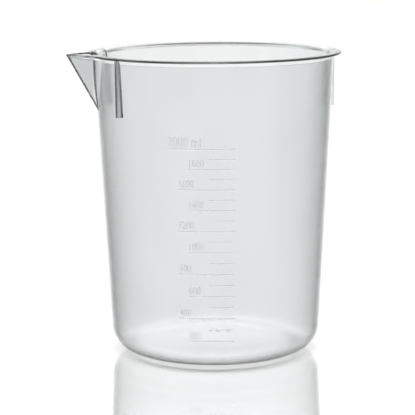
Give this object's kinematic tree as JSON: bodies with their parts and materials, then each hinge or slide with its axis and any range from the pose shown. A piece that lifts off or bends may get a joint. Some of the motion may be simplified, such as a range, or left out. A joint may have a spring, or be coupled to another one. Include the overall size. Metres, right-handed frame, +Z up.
{
  "type": "graduated beaker",
  "caption": "Tapered, stackable plastic beaker with a flat base, a turned-out rim lip, a V-shaped pouring spout, stacking ribs under the rim and a raised millilitre scale.",
  "frame": {"origin": "centre of the flat underside, on the axis of the round wall", "axes": "+Z up along the wall's axis, -X towards the pouring spout, -Y towards the side that carries the scale"},
  "size_m": [0.1763, 0.1634, 0.1932],
  "materials": {
    "clear_polypropylene": "smooth moulded clear polypropylene, slightly milky, glossy",
    "raised_scale": "raised lines of the same clear polypropylene as the wall"
  },
  "bodies": {
    "root": {"vessel": "clear_polypropylene", "stacking_rib_front": "clear_polypropylene", "stacking_rib_back": "clear_polypropylene", "stacking_rib_opposite": "clear_polypropylene", "scale_line_0200_ml": "raised_scale", "scale_line_0300_ml": "raised_scale", "scale_line_0400_ml": "raised_scale", "scale_line_0500_ml": "raised_scale", "scale_line_0600_ml": "raised_scale", "scale_line_0700_ml": "raised_scale", "scale_line_0800_ml": "raised_scale", "scale_line_0900_ml": "raised_scale", "scale_line_1000_ml": "raised_scale", "scale_line_1100_ml": "raised_scale", "scale_line_1200_ml": "raised_scale", "scale_line_1300_ml": "raised_scale", "scale_line_1400_ml": "raised_scale", "scale_line_1500_ml": "raised_scale", "scale_line_1600_ml": "raised_scale", "scale_line_1700_ml": "raised_scale", "scale_line_1800_ml": "raised_scale", "scale_line_1900_ml": "raised_scale", "scale_line_2000_ml": "raised_scale"}
  },
  "joints": []
}
